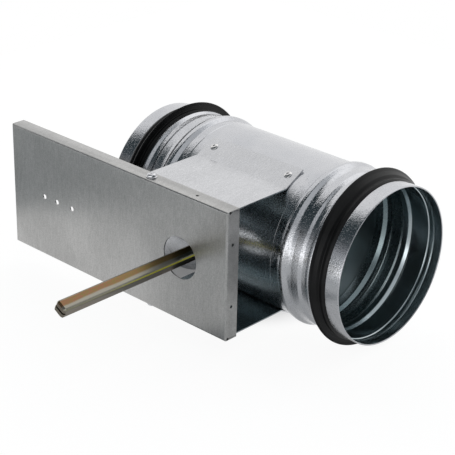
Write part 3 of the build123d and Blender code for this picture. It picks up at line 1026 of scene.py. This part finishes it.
@dataclass
class Studio:
    """Floor, room, lamp and the camera at the photograph's viewing angle, in metres."""

    azimuth_deg: float = 43.10
    elevation_deg: float = 25.03
    roll_deg: float = 1.32
    camera_place: tuple[float, float, float] = (0.7003, -0.7999, 0.4869)
    lens: float = 117.74
    sensor_width: float = 36.0
    clipping: Point = (0.01, 20.0)
    floor_level: float = -0.0691
    floor_half: float = 0.62
    lamp_place: tuple[float, float, float] = (-0.15, 1.0, 1.25)
    lamp_size: float = 1.2
    lamp_power: float = 1.4
    room_tones: RoomTones = field(default_factory=RoomTones)
    floor_tones: FloorTones = field(default_factory=FloorTones)

    def build(self) -> None:
        """Makes all of it."""
        self.world()
        self.floor()
        self.lamp()
        self.camera()

    def world(self) -> None:
        """A room that is white to the camera and shows the metal its own tones."""
        world = bpy.data.worlds.new("studio")
        bpy.context.scene.world = world
        world.use_nodes = True
        graph = Graph(world.node_tree)
        room, behind = self._room(graph)
        seen, mirrored = self._sight(graph)
        colour = graph.blend((seen + mirrored * behind).clamped(), room, (1.0, 1.0, 1.0))
        light = graph.put("ShaderNodeBackground", None, {"Color": colour, "Strength": 1.0})
        graph.put("ShaderNodeOutputWorld", None, {"Surface": light})

    def _room(self, graph: Graph) -> tuple[Signal, Signal]:
        """The room's colour by direction, and how far a direction points behind the object."""
        tones = self.room_tones
        x, y, z = graph.parts(graph.put("ShaderNodeTexCoord", output="Generated"))
        height = z * 0.5 + 0.5
        rising = height - tones.front_slope * (x + 0.62)
        front = graph.scaled(graph.tones(tones.front, rising), (tones.front_gain,) * 3)
        depth = y - tones.back_slope * x - tones.back_from
        side = graph.ramp(x, 0.05, 0.40) * graph.ramp(y, -0.75, -0.50) * graph.ramp(y, 0.70, 0.45)
        back = graph.ramp(depth, -tones.back_fade, tones.back_fade)
        room = graph.blend(back, front, graph.tones(tones.rear, height))
        room = graph.blend(side, room, graph.tones(tones.right, height))
        corner = graph.ramp(x, -0.594, -0.604) * graph.ramp(height, 0.62, 0.54)
        ahead = graph.ramp(depth, tones.back_fade, -tones.back_fade)
        room = graph.blend(corner * ahead, room, tones.corner)
        overhead = graph.ramp(x, 0.02, 0.20) * graph.ramp(height, 0.72, 0.84)
        return graph.blend(overhead, room, tones.overhead), back * (1.0 - side)

    def _sight(self, graph: Graph) -> tuple[Signal, Signal]:
        """Whether a ray comes straight from the camera, and whether it comes off metal or glass."""
        node = graph.put("ShaderNodeLightPath", output="Is Camera Ray").socket.node
        camera, glossy, through = (Signal(graph, node.outputs[name]) for name in
                                   ("Is Camera Ray", "Is Glossy Ray", "Is Transmission Ray"))
        return camera, graph.maths("MAXIMUM", glossy, through)

    def floor(self) -> None:
        """A pale floor that is white to the camera and keeps the object's shadow."""
        deselect_all()
        bpy.ops.mesh.primitive_plane_add(size=2 * self.floor_half, location=(0, 0, self.floor_level))
        floor = bpy.context.active_object
        floor.name = "studio_floor"
        settle()
        material = bpy.data.materials.new("studio_floor")
        material.use_nodes = True
        graph, tones = Graph(material.node_tree), self.floor_tones
        paint = graph.put("ShaderNodeBsdfDiffuse", None, {"Color": tones.paint})
        glow = graph.put("ShaderNodeEmission", None, {"Color": (1.0, 1.0, 1.0), "Strength": tones.glow})
        white = graph.put("ShaderNodeBsdfDiffuse", None, {"Color": tones.white})
        x, y, _ = graph.parts(graph.place())
        # Painted shadow: the glow fades in an ellipse under the duct, so that the white paint's own
        # shading shows there
        from_centre = x + tones.shadow_shift
        reach_x, reach_y = (reach * reach for reach in tones.shadow_reach)
        under = (from_centre * from_centre / reach_x + (y * y) / reach_y) ** 0.5
        lifted = graph.put("ShaderNodeMixShader", None,
                           {0: graph.ramp(under, 0.55, 1.15, 0.12, 0.86), 1: white, 2: glow})
        seen, mirrored = self._sight(graph)
        bright = (seen + self._gleam(graph, x, y) * mirrored).clamped()
        mixed = graph.put("ShaderNodeMixShader", None, {0: bright, 1: paint, 2: lifted})
        graph.put("ShaderNodeOutputMaterial", None, {"Surface": mixed})
        dress(floor, material)

    def _gleam(self, graph: Graph, x: Signal, y: Signal) -> Signal:
        """The floor glow's share in reflections, place by place: painted pools of light and painted
        shadow.
        """
        tones = self.floor_tones
        # Away runs from the duct towards the plate and to the left, aside runs to the right
        away, aside = -0.68 * x - 0.73 * y, 0.73 * x - 0.68 * y
        # Painted light: a pool before the plate with a painted shadow dip in it, and lit patches beside,
        # beneath and beyond the duct and right of the plate's painted shadow
        pool = graph.ramp(away, 0.312, 0.292) * graph.ramp(aside, 0.070, 0.040)
        shadow_dip = 1.0 - tones.pool_shadow_dip * graph.ramp(x, -0.115, -0.090) * graph.ramp(y, -0.110, -0.095)
        beside = (graph.ramp(away, 0.28, 0.10) * graph.ramp(aside, 0.045, 0.070)
                  * graph.ramp(away, 0.075, 0.105))
        lit = graph.ramp(x + 0.19 * y, 0.022, 0.042) * graph.ramp(away, 0.10, 0.06)
        beneath = graph.ramp(away, 0.012, -0.015) * graph.ramp(aside, 0.066, 0.052)
        beyond = graph.ramp(away, 0.22, 0.28) * graph.ramp(aside, 0.12, 0.16)
        return (tones.everywhere + tones.pool * pool * shadow_dip + tones.beside * beside
                + tones.lit * lit + tones.beneath * beneath + tones.beyond * beyond)

    def lamp(self) -> None:
        """A large soft lamp overhead that looks at the duct."""
        data = bpy.data.lights.new("overhead", "AREA")
        data.shape, data.size, data.energy = "SQUARE", self.lamp_size, self.lamp_power
        lamp = bpy.data.objects.new("overhead", data)
        lamp.location = self.lamp_place
        lamp.rotation_euler = (-Vector(self.lamp_place)).to_track_quat("-Z", "Y").to_euler()
        bpy.context.scene.collection.objects.link(lamp)

    def camera(self) -> None:
        """The camera, turned by azimuth, elevation and a slight roll."""
        azimuth, elevation, roll = (math.radians(v) for v in
                                    (self.azimuth_deg, self.elevation_deg, self.roll_deg))
        back = Vector((math.sin(azimuth) * math.cos(elevation),
                       -math.cos(azimuth) * math.cos(elevation), math.sin(elevation)))
        level = (-back).cross(Vector((0, 0, 1))).normalized()
        upright = level.cross(-back)
        right = math.cos(roll) * level + math.sin(roll) * upright
        up = -math.sin(roll) * level + math.cos(roll) * upright
        data = bpy.data.cameras.new("photo_camera")
        data.lens, data.sensor_width = self.lens, self.sensor_width
        data.clip_start, data.clip_end = self.clipping
        camera = bpy.data.objects.new("photo_camera", data)
        turn = Matrix((right, up, back)).transposed().to_4x4()
        camera.matrix_world = Matrix.Translation(self.camera_place) @ turn
        bpy.context.scene.collection.objects.link(camera)
        bpy.context.scene.camera = camera
        bpy.context.scene.view_settings.view_transform = "Standard"


# Assembly


def build_spigots_and_tube(tube_finish: bpy.types.Material, rubber: bpy.types.Material) -> None:
    """The tube and both gaskets."""
    tube = DuctTube()
    piece = tube.build()
    hand_over(piece, "duct_body", "casing", tube_finish)
    # Darker teal copies of the zinc, painted as shade on the tube's inner wall
    mouth_shade = BrightGalvanised(zinc=(0.54, 0.60, 0.62), dull_zinc=(0.47, 0.53, 0.55), roughness=0.17,
                            dimple_depth=0.02 * MM, speck_roughness=0.04)
    deep_shade = BrightGalvanised(zinc=(0.27, 0.33, 0.345), dull_zinc=(0.235, 0.29, 0.305), roughness=0.24,
                            dimple_depth=0.02 * MM, speck_roughness=0.04)
    tube.shade_inside(piece, mouth_shade.material("duct_mouth_wall_painted_shade"), deep_shade.material("duct_inner_wall_painted_shade"))
    for side in Side:
        node = f"spigot_gasket_{side.name.lower()}"
        hand_over(SpigotGasket(side).build(), node, "casing", rubber)


def build_fasteners() -> None:
    """The saddle rivets and the plate screws."""
    rivet_metal = replace(BRIGHT_ZINC, base=(0.78, 0.77, 0.76), roughness=0.12).material("rivet_metal")
    for name, piece in SaddleRivets().build().items():
        hand_over(piece, f"saddle_rivet_{name}", "casing", rivet_metal)
    screw_metal = BRIGHT_ZINC.material("bright_zinc")
    for name, piece in PlateScrews().build().items():
        hand_over(piece, f"plate_screw_{name}", "casing", screw_metal)


def finish_carried_parts(rubber: bpy.types.Material) -> None:
    """The plate, the bracket, the spindle, the blade and the bearings."""
    plate = DullGalvanised().material("dull_galvanised_plate")
    # The bracket's faces inside its legs carry painted shade
    bracket = DullGalvanised(zinc=(0.48, 0.485, 0.50), light_zinc=(0.69, 0.695, 0.715),
                             roughness=0.20, uneven=0.0, grain_depth=0.004 * MM,
                             leg_height=51.1 * MM).material("galvanised_bracket_with_painted_shade")
    carried = CarriedParts()
    carried.finish(["actuator_plate"], plate)
    carried.finish(["saddle_bracket"], bracket)
    carried.finish(["blade_disc_upper", "blade_disc_lower"],
                   BrightGalvanised(roughness=0.2).material("blade_sheet"))
    carried.finish(["blade_seal_right", "blade_seal_left"], rubber)
    carried.finish(["spindle"], YellowChromate().material("yellow_chromate_bar"))
    carried.finish(["blade_rivets", "blade_clamp_rivets"],
                   replace(BRIGHT_ZINC, roughness=0.22).material("blade_rivet_metal"))
    carried.finish(["spindle_bush_front", "spindle_bush_rear", "bearing_housing_front",
                    "bearing_housing_rear"], BEARING_PLASTIC.material("bearing_plastic"))
    carried.finish(["spindle_clip_front", "spindle_clip_rear"],
                   SPRING_STEEL.material("phosphated_spring_steel"))


def main() -> None:
    """Builds and dresses the damper, then the studio."""
    logging.basicConfig(level=logging.INFO, format="%(name)s: %(message)s")
    rubber = BLACK_RUBBER.material("black_gasket_rubber")
    build_spigots_and_tube(BrightGalvanised().material("bright_galvanised_sheet"), rubber)
    build_fasteners()
    finish_carried_parts(rubber)
    Studio().build()


if __name__ == "__main__":
    main()
